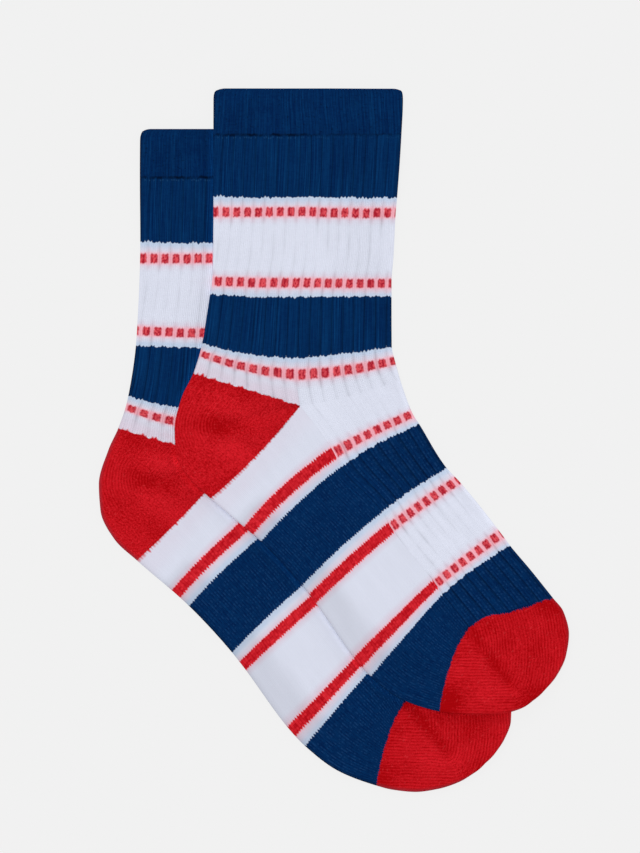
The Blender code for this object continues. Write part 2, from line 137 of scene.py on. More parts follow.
BACK_SOCK = (
    Line("mouth", -84.3, 141.0, -44.5, 141.0, -6.0, 141.0, 0.0, 0.0, -0.3, 17.45),
    Line("lip", -86.8, 139.9, -44.5, 139.9, -3.5, 139.5, 0.0, 0.0, -0.3, 17.45),
    Line("cuff", -87.8, 136.5, -44.5, 136.5, -2.5, 136.5, 0.0, 0.0, -0.3, 17.45),
    Line("welt_end", -87.9, 119.0, -42.6, 119.0, -2.5, 119.5, 0.0, 0.0, 0.0, 17.3),
    Line("band_1_end", -87.7, 89.75, -43.7, 89.35, -5.0, 89.5, 0.4, 0.0, 0.26, 17.3),
    Line("line_1", -87.8, 82.3, -43.9, 82.7, -5.5, 82.5, 0.2, 0.0, 0.20, 17.3),
    Line("line_2", -89.2, 49.8, -46.3, 48.7, -7.5, 49.0, 0.6, 0.0, 0.64, 17.3),
    Line("band_2", -89.7, 43.0, -47.0, 41.4, -7.5, 42.0, 0.0, 0.0, 0.66, 17.35),
    Line("band_2_end", -93.2, 19.8, -47.6, 13.0, -7.0, 19.5, 1.6, 0.6, 0.80, 17.4),
    Line("line_3", -94.3, 15.2, -48.0, 5.8, -5.5, 13.0, 2.1, 1.1, 1.0, 17.45),
    Line("ankle", -97.6, 5.7, *BACK_ANKLE, 0.4, 1.3),
    Line("heel_1", -102.2, -4.4, *BACK_ANKLE, -0.2, 1.3),
    Line("heel_2", -106.5, -20.0, *BACK_ANKLE, 0.0, 1.3),
    Line("heel_3", -105.7, -32.0, *BACK_ANKLE, 0.3, 1.3),
    Line("heel_4", -99.4, -44.8, *BACK_ANKLE, 0.7, 1.3),
    Line("heel_end", -89.2, -54.4, *BACK_ANKLE, 1.3, 1.3),
    Line("line_4", -71.7, -69.4, -30.5, -31.0, 4.0, -11.5, -1.5, -0.7, 1.0, 17.05),
    Line("band_3", -65.7, -74.9, -26.2, -37.9, 7.5, -16.5, -1.4, -0.6, 1.0, 17.1),
    Line("band_3_end", -46.1, -96.1, -7.7, -60.4, 20.7, -39.9, -1.0, -1.2, 1.0, 17.2),
    Line("line_5", -41.4, -102.05, -3.9, -68.0, 26.0, -47.0, -0.5, -0.3, 1.0, 17.25),
    Line("line_6", -19.5, -131.7, 17.0, -93.0, 48.5, -70.0, 0.5, 0.0),
    Line("band_4", -13.3, -138.2, 21.4, -97.9, 52.0, -75.5, -0.1, -1.1),
    Line("band_4_mid", 2.3, -149.9, 28.0, -106.5, 62.0, -88.0, -1.2, -1.1),
    Line("toe_edge", 19.4, -156.4, 32.6, -116.5, 71.1, -104.1, -2.2, -1.2),
    Line("toe_1", 26.4, -158.2, 40.5, -126.5, 77.5, -109.0, -1.8, -1.0),
    Line("toe_2", 37.0, -159.25, 47.0, -135.5, 80.5, -118.0, -1.0, -0.8),
    Line("toe_3", 47.1, -157.9, 54.0, -141.5, 80.2, -127.0, -0.6, -0.5),
    Line("toe_4", 56.8, -154.7, 61.7, -146.2, 77.1, -135.6, -0.3, -0.3),
    Line("toe_tip", 64.1, -150.3, 68.6, -146.2, 73.3, -141.4, 0.2, 0.2),
)

# Each heel and toe pocket is knitted to a gore, which runs from the side line into the pocket. Its two
# sides' wales meet on it at an angle, and go round its end in arcs. The arms are the ways they run, in
# degrees, and the bend is how far the second arm turns over its first ARM_BENDS millimetres.
Gore = namedtuple("Gore", "start_x start_y end_x end_y first_arm second_arm bend")
HEEL_ARMS, TOE_ARMS = (50.0, -40.0, 0.0), (178.0, 76.0, 44.0)
ARM_BENDS = 36.0
FRONT_GORES = {
    "heel": Gore(*FRONT_ANKLE[:2], -49.0, 6.6, *HEEL_ARMS),
    "toe": Gore(60.9, -85.5, 78.6, -108.7, *TOE_ARMS),
}
BACK_GORES = {
    "heel": Gore(*BACK_ANKLE[:2], -79.5, -17.9, *HEEL_ARMS),
    "toe": Gore(32.9, -118.0, 51.5, -141.5, *TOE_ARMS),
}

# Painted shade and light on the heels and toes, at the creases by the gores and round them
# Where a pocket lies a little darker or lighter: from the gore's end to the middle of the place, in
# millimetres, its half length and half width, the way its length runs, in degrees, and the change
Shade = namedtuple("Shade", "right up length width turn change")
SHADES = {
    "heel": (
        Shade(-2.5, -0.4, 20.0, 8.0, -8.0, -0.40),
        Shade(2.0, 7.5, 20.0, 7.0, -10.0, 0.20),
        Shade(4.0, -14.0, 26.0, 9.0, -30.0, 0.22),
    ),
    "toe": (
        Shade(-7.0, -4.5, 11.0, 9.0, 20.0, 0.24),
        Shade(-23.0, -8.0, 13.0, 14.0, 0.0, -0.20),
        Shade(12.0, 13.0, 8.0, 14.0, 0.0, -0.14),
        Shade(12.0, -9.0, 15.0, 9.0, 25.0, -0.32),
    ),
}

# The flat cut of each part, all round, in millimetres, its area in square millimetres, and its slot
Cut = namedtuple("Cut", "width length area slot")
CUTS = {
    "welt": Cut(170.0, 40.0, 6800.0, "welt_knit"),
    "leg": Cut(168.0, 124.0, 20500.0, "ribbed_knit"),
    "heel": Cut(100.0, 62.0, 4100.0, "pocket_knit"),
    "foot": Cut(155.0, 160.0, 24000.0, "ribbed_knit"),
    "toe": Cut(92.0, 62.0, 4800.0, "pocket_knit"),
}
# The navy bands and the red lines of the striped parts, by the lines they are placed by
BANDS = {
    "leg": (("welt_end", "band_1_end"), ("band_2", "band_2_end")),
    "foot": (("band_3", "band_3_end"), ("band_4", "toe_edge")),
}
RED_LINES = {"leg": ("line_1", "line_2", "line_3"), "foot": ("line_4", "line_5", "line_6")}
SOLID_LINES = (("line_4", 2.4), ("line_5", 2.5), ("line_6", 2.2))  # half their widths on the sole
PINK_LINES = {"leg": ("line_2",), "foot": ("line_4", "line_6")}  # the white past these is pinker
# The toe's edge sways towards the tip by so many millimetres from one rib count to another
TOE_EDGE_SWAY = ((7.5, 9.0, 0.7), (9.1, 10.6, -1.5), (10.9, 13.0, 2.0), (14.3, 16.6, -1.2))
# How the stitches' points reach over the edges of the pockets
HEEL_TOP_TEETH, HEEL_FOOT_TEETH, TOE_TEETH = (0.22, 0.40), (0.20, 0.20), (0.50, 0.50)

# The yarns' colours, and a painted shade red for the pockets' folds
NAVY = (0.0, 0.012, 0.064, 1.0)
NAVY_LIGHT = (0.002, 0.042, 0.145, 1.0)
NAVY_FLECK = (0.014, 0.06, 0.17, 1.0)
LOOP_BLUE = (0.05, 0.18, 0.36, 1.0)
WHITE = (0.69, 0.716, 0.83, 1.0)
COOL = (0.53, 0.625, 0.79, 1.0)
BLUSH = (0.69, 0.565, 0.67, 1.0)
PINK = (0.9152, 0.425, 0.5, 1.0)
RED = (0.55, 0.004, 0.01, 1.0)
RED_DARK = (0.36, 0.0008, 0.0026, 1.0)
RED_LIGHT = (0.67, 0.0125, 0.0215, 1.0)
SPECK_RED = (0.72, 0.055, 0.065, 1.0)
FOLD_SHADE_RED = (0.28, 0.022, 0.034, 1.0)
DASH_RED = (0.3784, 0.012, 0.027, 1.0)
DASH_LIGHT = (0.744, 0.085, 0.105, 1.0)
LINE_DARK = (0.38, 0.002, 0.007, 1.0)
LINE_LIGHT = (0.73, 0.026, 0.038, 1.0)
CLOTH_ROUGHNESS, CLOTH_SPECULAR = 0.92, 0.03
STITCH_RELIEF, WELT_RELIEF = 0.30, 0.22


# ---- Where the cloth lies ----


def shape_keeping_slopes(knots, values):
    """Slopes at the knots for a cubic that never runs past its own values."""
    steps = np.diff(knots)[:, None]
    secants = np.diff(values, axis=0) / steps
    before, after = secants[:-1], secants[1:]
    turning = before * after <= 0
    weight_before = 2 * steps[1:] + steps[:-1]
    weight_after = steps[1:] + 2 * steps[:-1]
    safe_before = np.where(turning, 1.0, before)
    safe_after = np.where(turning, 1.0, after)
    mean = (weight_before + weight_after) / (weight_before / safe_before + weight_after / safe_after)
    slopes = np.empty_like(values)
    slopes[0], slopes[-1] = secants[0], secants[-1]
    slopes[1:-1] = np.where(turning, 0.0, mean)
    return slopes


class Lay:
    """How a sock lies: its lines, read at any place, in millimetres down the back fold.

    The last of a line's numbers is its depth: millimetres down the front half of the sock. It stands still
    round the heel, and the stripes are placed by it.
    """

    def __init__(self, lines):
        self.names = [line.name for line in lines]
        numbers = np.array([line[1:] for line in lines], dtype=float)
        moved = np.diff(numbers, axis=0)
        back, side, front = [np.hypot(*moved[:, place].T) for place in (BACK, SIDE, FRONT)]
        self.knots = np.concatenate(([0.0], np.cumsum(back)))
        depth = np.concatenate(([0.0], np.cumsum(0.5 * (side + front))))
        self.values = np.column_stack((numbers, depth))
        self.slopes = shape_keeping_slopes(self.knots, self.values)
        fine = self.read(np.arange(0.0, self.knots[-1], OUTLINE_STEP))
        self.fold = np.concatenate((fine[:, BACK], fine[::-1, FRONT]))

    def place(self, name):
        return self.knots[self.names.index(name)]

    def depth(self, name):
        return float(self.values[self.names.index(name), -1])

    def read(self, places):
        """One row of a line's numbers for each place."""
        places = np.asarray(places)
        i = np.clip(np.searchsorted(self.knots, places, side="right") - 1, 0, len(self.knots) - 2)
        span = (self.knots[i + 1] - self.knots[i])[:, None]
        x = (places[:, None] - self.knots[i][:, None]) / span
        start = (1 + 2 * x) * (1 - x) ** 2 * self.values[i] + x * (1 - x) ** 2 * span * self.slopes[i]
        end = x * x * (3 - 2 * x) * self.values[i + 1] + x * x * (x - 1) * span * self.slopes[i + 1]
        return start + end

    def rows(self, first, last, step=ROW_STEP):
        """Places evenly spaced between two named lines, both ends included."""
        start, end = self.place(first), self.place(last)
        return np.linspace(start, end, max(2, int(round(abs(end - start) / step)) + 1))


def smooth(value, low, high):
    """From 0 to 1 as the value goes from low to high, eased at both ends."""
    share = np.clip((value - low) / (high - low), 0.0, 1.0)
    return share * share * (3 - 2 * share)


def half_lengths(numbers):
    """How long each course is from the back fold to the side line, and from there to the front fold."""
    back, front = numbers[:, SIDE] - numbers[:, BACK], numbers[:, FRONT] - numbers[:, SIDE]
    return np.hypot(*back.T), np.hypot(*front.T)


def across(numbers, shares):
    """X and Y at the shares of each course: 0 is the back fold, 0.5 the side line and 1 the front fold."""
    numbers = numbers[:, None, :]
    on_back = (shares <= 0.5)[..., None]
    half = np.where(shares <= 0.5, 2 * shares, 2 * shares - 1)[..., None]
    start = np.where(on_back, numbers[..., BACK], numbers[..., SIDE])
    end = np.where(on_back, numbers[..., SIDE], numbers[..., FRONT])
    bow = np.where(on_back, numbers[..., BACK_BOW], numbers[..., FRONT_BOW])
    run = end - start
    down = np.stack((run[..., 1], -run[..., 0]), axis=-1)
    down = down / np.maximum(np.hypot(run[..., 0], run[..., 1]), 1e-9)[..., None]
    return start + run * half + down * 4 * bow * half * (1 - half)


def ribs_at(numbers, shares):
    """The rib count at the shares of each course, with a groove at every whole number."""
    back, front = numbers[:, BACK_RIBS], numbers[:, FRONT_RIBS]
    over_back = back + (SIDE_RIB - back) * 2 * shares
    over_front = SIDE_RIB + (front - SIDE_RIB) * (2 * shares - 1)
    return np.where(shares <= 0.5, over_back, over_front)


def in_batches(places, work):
    """Works on so many places at a time, to spare memory."""
    return np.concatenate([work(places[low : low + BATCH]) for low in range(0, len(places), BATCH)])


def nearest(places, line):
    """Each place's distance to a line of points."""
    start, edge = line[:-1], np.diff(line, axis=0)
    lengths = np.hypot(edge[:, 0], edge[:, 1])
    keep = lengths > 1e-6
    start, edge, lengths = start[keep], edge[keep], lengths[keep]

    def distance(batch):
        offset = batch[:, None] - start
        share = np.clip((offset * edge).sum(axis=2) / lengths**2, 0.0, 1.0)
        return np.sqrt(((offset - share[..., None] * edge) ** 2).sum(axis=2)).min(axis=1)

    return in_batches(places, distance)


def inside(places, outline):
    """Whether each place is inside a closed outline."""
    start, end = outline, np.roll(outline, -1, axis=0)
    rise = np.where(end[:, 1] == start[:, 1], 1.0, end[:, 1] - start[:, 1])

    def is_in(batch):
        x, y = batch[:, 0:1], batch[:, 1:2]
        straddles = (start[:, 1] > y) != (end[:, 1] > y)
        crossing = start[:, 0] + (y - start[:, 1]) / rise * (end[:, 0] - start[:, 0])
        return (straddles & (x < crossing)).sum(axis=1) % 2 == 1

    return in_batches(places, is_in)


def outside_by(places, outline):
    """How far each place lies outside an outline, less than 0 inside it."""
    gap = nearest(places, np.concatenate((outline, outline[:1])))
    return np.where(inside(places, outline), -gap, gap)


# How a sock rests: its heights by how far a place is outside the other sock's outline, and that outline
Rest = namedtuple("Rest", "heights other")


def flat(apart):
    """Heights under a sock that lies on the surface."""
    return np.zeros(len(apart))


def over(apart):
    """Heights under a sock that lies over another, at places so far outside the other's outline."""
    top = 2 * WALL + INNER_SPACE + SOLID_RIB_RISE + LAYER_SPACE
    return top * (1 - smooth(apart, EASE_START, EASE_START + EASE_LENGTH))


# ---- The knitted parts' meshes ----


def add_object(name, data):
    """A new object of these data, in the scene."""
    made = bpy.data.objects.new(name, data)
    bpy.context.scene.collection.objects.link(made)
    return made


def corners(grid):
    """The values at each cell's four corners, in turn round the cell."""
    return np.stack((grid[:-1, :-1], grid[:-1, 1:], grid[1:, 1:], grid[1:, :-1]), axis=2)


class Sheet:
    """A grid of points that becomes one mesh, with maps that tell its material where it is on the sock."""

    def __init__(self, lay, rest, places, radius=HALF_TUBE, reach=None, pocket=False):
        """Rows of points round the sock, one for each place.

        The radius is half the flattened tube's thickness. The reach is how far the skin is from its middle,
        which is less than that where the skin turns in at the cuff or closes at the toe.
        """
        self.numbers, self.pocket = lay.read(places), pocket
        reach = np.full((len(places), 1), radius) if reach is None else reach[:, None]
        back, front = half_lengths(self.numbers)
        arc = np.radians(np.linspace(90.0, -90.0, 2 * ARC_STEPS + 1))
        inset, lift = radius - reach * np.cos(arc), radius + reach * np.sin(arc)

        def spread(start, end, count):
            return start + (end - start) * np.linspace(0.0, 1.0, count + 1)[None, 1:-1]

        back_shares, front_shares = 0.5 * inset / back[:, None], 1 - 0.5 * inset / front[:, None]
        side = np.full((len(back), 1), 0.5)
        top, base = lift[:, :1], lift[:, -1:]
        over_side = [(side, top, 1), (spread(side, back_shares[:, :1], TOP_STATIONS), top, 1)]
        round_back = [
            (back_shares[:, : ARC_STEPS + 1], lift[:, : ARC_STEPS + 1], 1),
            (back_shares[:, ARC_STEPS + 1 :], lift[:, ARC_STEPS + 1 :], 0),
            (spread(back_shares[:, -1:], side, UNDER_STATIONS), base, 0),
            (side, base, 0),
        ]
        if pocket:
            runs = over_side + round_back
        else:
            up = slice(ARC_STEPS, None, -1)
            runs = [
                (front_shares[:, up], lift[:, up], 1),
                (spread(front_shares[:, :1], side, TOP_STATIONS), top, 1),
                *over_side,
                *round_back,
                (spread(side, front_shares[:, -1:], UNDER_STATIONS), base, 0),
                (front_shares[:, : ARC_STEPS - 1 : -1], lift[:, : ARC_STEPS - 1 : -1], 0),
            ]
        self.shares = np.concatenate([shares for shares, _, _ in runs], axis=1)
        lifts = [np.broadcast_to(lift, shares.shape) for shares, lift, _ in runs]
        self.lifts = np.concatenate(lifts, axis=1)
        self.on_top = np.concatenate([np.full(shares.shape, bool(t)) for shares, _, t in runs], axis=1)
        self.places = across(self.numbers, self.shares)
        self.apart = outside_by(self.places.reshape(-1, 2), rest.other).reshape(self.shares.shape)
        self.under = rest.heights(self.apart.ravel()).reshape(self.shares.shape)
        ribs = ribs_at(self.numbers, self.shares)
        self.ribs = np.where(self.on_top, ribs, 2 * self.numbers[:, BACK_RIBS] - ribs)
        turned_up = np.clip((self.lifts - radius) / reach.clip(1e-6), 0, 1)
        self.faces_up = np.where(self.on_top, turned_up, 0.0)
        self.depth = np.broadcast_to(self.numbers[:, -1:], self.shares.shape)
        self.relief = np.zeros_like(self.shares)

    def raise_by(self, relief):
        """Raises the upper face by so many millimetres, less where it turns down at the folds."""
        self.relief = self.relief + relief * self.faces_up**2

    def rim(self):
        """How far each point is from the nearer fold."""
        back, front = half_lengths(self.numbers)
        return np.minimum(2 * self.shares * back[:, None], 2 * (1 - self.shares) * front[:, None])

    def mesh(self, name, **maps):
        """The sheet as an object, with the maps that its material reads."""
        rows, columns = self.shares.shape
        heights = self.under + self.lifts + self.relief
        points = np.dstack((self.places, heights)) * MM
        wrap = not self.pocket
        used = columns - 1 if wrap else columns
        index = np.arange(rows * used).reshape(rows, used)
        if wrap:
            index = np.column_stack((index, index[:, 0]))
        mesh = bpy.data.meshes.new(name)
        quads = corners(index).reshape(-1, 4)
        mesh.from_pydata(points[:, :used].reshape(-1, 3).tolist(), [], quads.tolist())
        own = {
            "knit": (self.ribs * WALES_PER_RIB, self.depth),
            "rim": (self.rim(), np.where(self.on_top, self.apart, FAR)),
        }
        for label, pair in {**own, **maps}.items():
            layer = mesh.uv_layers.new(name=label)
            layer.data.foreach_set("uv", corners(np.dstack(pair)).reshape(-1).astype(np.float32))
        shape = bmesh.new()
        shape.from_mesh(mesh)
        bmesh.ops.remove_doubles(shape, verts=shape.verts, dist=1e-6)
        bmesh.ops.recalc_face_normals(shape, faces=shape.faces)
        for face in shape.faces:
            face.smooth = True
        shape.to_mesh(mesh)
        shape.free()
        return add_object(name, mesh)


def rib_form(ribs):
    """0 in a rib groove and 1 on a rib, a little crowned."""
    off = ribs - np.round(ribs)
    crown = 0.18 * (np.abs(off) * 2) ** 1.5
    return (1 - np.exp(-((off / GROOVE_WIDTH) ** 2))) * (0.82 + crown)


def line_depths(lay, part):
    """Where a part's red lines are, in millimetres down the front half."""
    return [lay.depth(name) for name in RED_LINES[part]]


def band_depths(lay, part):
    """Where the edges of a part's navy bands are, likewise."""
    return [lay.depth(name) for band in BANDS[part] for name in band]


def rib_strength(lay, part, depth, ribs):
    """How deep the grooves lie: most in the foot's navy, and in the white most near a line or a band."""
    marks = line_depths(lay, part) + band_depths(lay, part)
    near = np.min([np.abs(depth - mark) for mark in marks], axis=0)
    white = 0.05 + 0.15 * (1 - smooth(near, 2.5, 8.0)) + 0.10 * smooth(ribs, 10.0, 13.0)
    full = 0.45 if part == "leg" else 0.75
    navy = np.zeros_like(depth)
    for start, end in BANDS[part]:
        begun = smooth(depth - lay.depth(start), -1.5, 0.5)
        navy = np.maximum(navy, begun * smooth(lay.depth(end) - depth, -1.5, 0.5))
    return white + (full - white) * navy


def sway(places, size):
    """Soft unevenness of the laid cloth, in millimetres."""
    x, y = places[..., 0], places[..., 1]
    return size * (
        0.5 * np.sin(x / 9.7 + 1.3 * np.sin(y / 23.0))
        + 0.3 * np.sin(y / 13.1 + 0.9 * np.sin(x / 17.0) + 2.0)
        + 0.2 * np.sin((x + 1.7 * y) / 7.3)
    )


def gore_distance(places, gore):
    """How far each place is from a pocket's gore."""
    line = np.array([[gore.start_x, gore.start_y], [gore.end_x, gore.end_y]])
    return nearest(places, line)


def arm(gore, way, bend):
    """A wale's line from the gore's end: it bends at first, and then runs straight."""
    along = np.append(np.linspace(0.0, ARM_BENDS, 19), 300.0)
    ways = np.radians(way + bend * along[:-1] / ARM_BENDS)
    steps = np.diff(along)[:, None] * np.column_stack((np.cos(ways), np.sin(ways)))
    return np.array([gore.end_x, gore.end_y]) + np.concatenate((np.zeros((1, 2)), np.cumsum(steps, axis=0)))


def wale_distance(places, gore):
    """How far each place is from the wale that turns at the gore's end, and less than 0 beyond it."""
    line = np.concatenate((arm(gore, gore.first_arm, 0.0)[::-1], arm(gore, gore.second_arm, gore.bend)[1:]))
    distance = nearest(places, line)
    return np.where(inside(places, line), distance, -distance)


def wale_clearness(places, gore):
    """1 where the wales run along X or Y, and the light shows them best, and 0 halfway between the two."""
    here, step = wale_distance(places, gore), 0.2
    right = (wale_distance(places + (step, 0.0), gore) - here) / step
    up = (wale_distance(places + (0.0, step), gore) - here) / step
    return np.abs(right**2 - up**2)


def edge_line(lay, name, whole):
    """The places along a line, over the whole sock or over its back half."""
    shares = np.linspace(0.0, 1.0 if whole else 0.5, 120)[None]
    return across(lay.read([lay.place(name)]), shares)[0]


def tube_part(sock, lay, rest, name, first, last, uneven):
    """The leg or the foot: an open tube, ribbed where the knit is."""
    places = lay.rows(first, last)
    sheet = Sheet(lay, rest, places)
    if name == "leg":
        from_welt = sheet.depth - lay.depth("welt_end")
        ribbed = smooth(from_welt, 0.3, 5.0)
        to_heel = np.broadcast_to(lay.place("ankle") - places[:, None], sheet.shares.shape)
        ribbed = ribbed * np.where(sheet.shares < 0.5, smooth(to_heel, 0.0, 4.0), 1.0)
        sheet.raise_by((WELT_WALL - WALL) * 2 * (1 - smooth(from_welt, 0.0, 1.6)))
    else:
        ribbed = np.where(sheet.ribs > SIDE_RIB, 1.0, 0.0)
        ribbed = ribbed * smooth(lay.depth("toe_edge") - sheet.depth, 0.0, 4.0)
    ribbed = ribbed * rib_strength(lay, name, sheet.depth, sheet.ribs)
    sheet.raise_by(RIB_RISE * ribbed * rib_form(sheet.ribs))
    sheet.raise_by(sway(sheet.places, uneven))
    return sheet.mesh(f"{sock}_{name}_knit")


def pocket_part(sock, lay, rest, name, gore, uneven):
    """The heel or the toe: plain knit whose wales run along the folds and turn at the gore."""
    if name == "heel":
        places = lay.rows("ankle", "heel_end", 1.0)
        sheet = Sheet(lay, rest, places, pocket=True)
    else:
        turn = np.radians(np.linspace(0.0, 90.0, ARC_STEPS + 1))
        tip = lay.place("toe_tip") - HALF_TUBE * (1 - np.sin(turn))
        body = lay.rows("toe_edge", "toe_tip", 1.0)
        body = body[body < tip[0] - 0.3]
        places = np.concatenate((body, tip))
        reach = HALF_TUBE * np.concatenate((np.ones(len(body)), np.cos(turn)))
        sheet = Sheet(lay, rest, places, reach=reach)

    def grid(values):
        return values.reshape(sheet.shares.shape)

    flat_places = sheet.places.reshape(-1, 2)
    crease = grid(gore_distance(flat_places, gore))
    trough = TROUGH_DEPTH * np.exp(-((crease / TROUGH_WIDTH) ** 2))
    sheet.raise_by(RIDGE_HEIGHT * np.exp(-(((crease - RIDGE_PLACE) / RIDGE_WIDTH) ** 2)) - trough)
    sheet.raise_by(sway(sheet.places, uneven))
    first_line = edge_line(lay, "ankle" if name == "heel" else "toe_edge", name == "toe")
    upper = nearest(flat_places, first_line)
    lower = np.full(len(upper), FAR)
    if name == "heel":
        lower = nearest(flat_places, edge_line(lay, "heel_end", False))
    along = np.broadcast_to(places[:, None], crease.shape)
    return sheet.mesh(
        f"{sock}_{name}_knit",
        knit=(sheet.ribs * WALES_PER_RIB, grid(upper)),
        pocket=(grid(wale_distance(flat_places, gore)), along),
        edge=(grid(lower), crease),
        clear=(grid(wale_clearness(flat_places, gore)), crease),
    )


def welt_part(sock, lay, rest, uneven):
    """The turned cuff: its outer skin, the turned rim and the skin inside it."""
    middle, half = INNER_SPACE / 2 + WELT_WALL / 2, WELT_WALL / 2
    outer = lay.rows("welt_end", "mouth")
    turn = np.radians(np.linspace(0.0, 180.0, 2 * ARC_STEPS + 1))
    rim_places = half * (1 - np.sin(turn))
    rim_reach = middle + half * np.cos(turn)
    down = outer[outer > half + 0.4]
    places = np.concatenate((down, rim_places, down[::-1]))
    reach = np.concatenate((np.full(len(down), HALF_WELT), rim_reach, np.full(len(down), INNER_SPACE / 2)))
    sheet = Sheet(lay, rest, places, HALF_WELT, reach)
    sheet.raise_by(np.where(reach[:, None] > middle, sway(sheet.places, uneven), 0.0))
    return sheet.mesh(f"{sock}_welt_knit")


# ---- Materials ----


class Value:
    """A number or a colour that a material's nodes work out, for use with plain operators."""

    def __init__(self, shader, socket):
        self.shader, self.socket = shader, socket

    def __add__(self, other):
        return self.shader.math("ADD", self, other)

    def __mul__(self, other):
        return self.shader.math("MULTIPLY", self, other)

    def __sub__(self, other):
        return self.shader.math("SUBTRACT", self, other)

    def __rsub__(self, other):
        return self.shader.math("SUBTRACT", other, self)

    def __truediv__(self, number):
        return self * (1.0 / number)

    def __abs__(self):
        return self.shader.math("ABSOLUTE", self)

    __radd__, __rmul__ = __add__, __mul__


class Shader:
    """Makes a material's nodes."""

    def __init__(self, name):
        self.material = bpy.data.materials.new(name)
        self.material.use_nodes = True
        self.tree = self.material.node_tree
        self.surface = self.tree.nodes["Principled BSDF"]

    def put(self, socket, value):
        if isinstance(value, Value):
            self.tree.links.new(value.socket, socket)
        else:
            socket.default_value = value

    def node(self, kind, inputs=(), output=0, **settings):
        """One output of a new node with these inputs and settings."""
        made = self.tree.nodes.new(kind)
        for key, value in settings.items():
            setattr(made, key, value)
        for key, value in dict(inputs).items():
            self.put(made.inputs[key], value)
        return Value(self, made.outputs[output])

    def math(self, operation, *values, clamp=False):
        return self.node("ShaderNodeMath", enumerate(values), operation=operation, use_clamp=clamp)

    def floor(self, a):
        return self.math("FLOOR", a)

    def fract(self, a):
        return self.math("FRACT", a)

    def above(self, a, b):
        return self.math("GREATER_THAN", a, b)

    def highest(self, a, b):
        return self.math("MAXIMUM", a, b)

    def lowest(self, values):
        return functools.reduce(lambda a, b: self.math("MINIMUM", a, b), values)

    def nearest(self, value, marks):
        """The distance to the closest of the marks."""
        return self.lowest([abs(value - mark) for mark in marks])

    def clamp(self, a):
        """The value, kept from 0 to 1."""
        return self.math("ADD", a, 0.0, clamp=True)

    def ease(self, value, low, high):
        """From 0 to 1 as the value goes from low to high."""
        inputs = {"Value": value, "From Min": low, "From Max": high}
        return self.node("ShaderNodeMapRange", inputs, "Result", interpolation_type="SMOOTHSTEP")

    def split(self, vector):
        return [self.node("ShaderNodeSeparateXYZ", {"Vector": vector}, axis) for axis in ("X", "Y")]

    def join(self, x, y, z=0.0):
        return self.node("ShaderNodeCombineXYZ", {"X": x, "Y": y, "Z": z})

    def uv(self, name):
        return self.split(self.node("ShaderNodeUVMap", uv_map=name))

    def noise(self, place, scale=1.0, detail=0.0, roughness=0.55):
        """Smooth noise about 0.5."""
        inputs = {"Vector": place, "Scale": scale, "Detail": detail, "Roughness": roughness}
        return self.node("ShaderNodeTexNoise", inputs, "Fac")

    def scatter(self, x, y):
        """A fresh number from 0 to 1 for each pair."""
        inputs = {"Vector": self.join(x, y)}
        return self.node("ShaderNodeTexWhiteNoise", inputs, "Value", noise_dimensions="2D")

    def mix(self, factor, one, other):
        """Of one colour and another, by the Mix node's sockets for colours."""
        return self.node("ShaderNodeMix", {0: factor, 6: one, 7: other}, 2, data_type="RGBA")

    def scale(self, colour, factor):
        colour = colour[:3] if isinstance(colour, tuple) else colour
        return self.node("ShaderNodeVectorMath", {0: colour, "Scale": factor}, operation="SCALE")

    def finish(self, colour, height, relief):
        """The cloth's surface, with stitches that stand up by so many millimetres."""
        bump = self.node("ShaderNodeBump", {"Height": height, "Strength": 0.6, "Distance": relief * MM})
        looks = {"Roughness": CLOTH_ROUGHNESS, "Specular IOR Level": CLOTH_SPECULAR}
        for key, value in {"Base Color": colour, "Normal": bump, **looks}.items():
            self.put(self.surface.inputs[key], value)
        return self.material


class Knit:
    """The stitch pattern's own numbers, shared by the three kinds of cloth."""

    def __init__(self, shader, wales, depth, teeth=PLAIN_TEETH, uneven=PLAIN_UNEVEN):
        s = self.s = shader
        self.wales, self.depth = wales, depth
        self.wale = s.floor(wales)
        self.off_centre = abs(s.fract(wales) - 0.5)
        stretch = s.floor(depth * 0.05)
        jitter, chance = s.scatter(self.wale, stretch), s.scatter(stretch, self.wale)
        size = 0.40 + chance * chance * 1.8
        self.teeth = (self.off_centre * 2.0 - 0.5) * size * teeth + (jitter - 0.5) * uneven

    def cloud(self, across, along, seed, detail=0.0):
        """Smooth noise about 0, with so many grains a wale and a millimetre."""
        place = self.s.join(self.wales * across, self.depth * along, seed)
        return self.s.noise(place, detail=detail) - 0.5

    def streaks(self, length, seed, grain=1.15):
        """Uneven lightness along the wales, about 0."""
        return self.cloud(grain, 1.0 / length, seed, 1.5)

    def between(self):
        """1 between two wales and 0 on them."""
        return self.s.ease(self.off_centre, 0.30, 0.5)

    def by_stitch(self):
        """A fresh number about 0 for each stitch."""
        return self.s.scatter(self.wale, self.s.floor(self.depth / COURSE)) - 0.5

    def stitches(self):
        """Height of the knitted stitches, from 0 to 1: two slanting legs of yarn a stitch."""
        leg = self.s.math("POWER", 1.0 - abs(self.off_centre * 4.0 - 1.0), 0.6)
        slant = self.depth / COURSE + self.off_centre * 1.1
        return leg * (0.45 + abs(self.s.math("SINE", slant * math.pi)) * 0.55)


def rim_amount(s, reach):
    """From 0 to 1 at the folds, where the cloth turns under, except where it lies over the other sock."""
    # The mask of the painted light and shade at the folds
    rim, apart = s.uv("rim")
    return s.ease(rim, reach, 0.0) * s.ease(apart, -1.5, 0.5)


def painted_fold_shade(s, colour, wales):
    """Painted shade: navy cloth is darker at its folds, and most at the sole's."""
    sole = s.ease(wales, 35.0, 10.0)
    return s.scale(colour, 1.0 - rim_amount(s, 0.9) * 0.42 - rim_amount(s, 2.2) * sole * 0.24)


def painted_light_by_top_sock(s, colour, lower, amount):
    """Painted light on the lower sock near the edge of the sock on top, against the shade that falls there.
    """
    if not lower:
        return colour
    _, apart = s.uv("rim")
    return s.scale(colour, 1.0 + s.ease(apart, 3.6, -0.3) * amount)


def rib_wave(s, ribs, shift):
    """1 in the grooves and -1 on the ribs."""
    return s.math("COSINE", (ribs - shift) * (2 * math.pi))


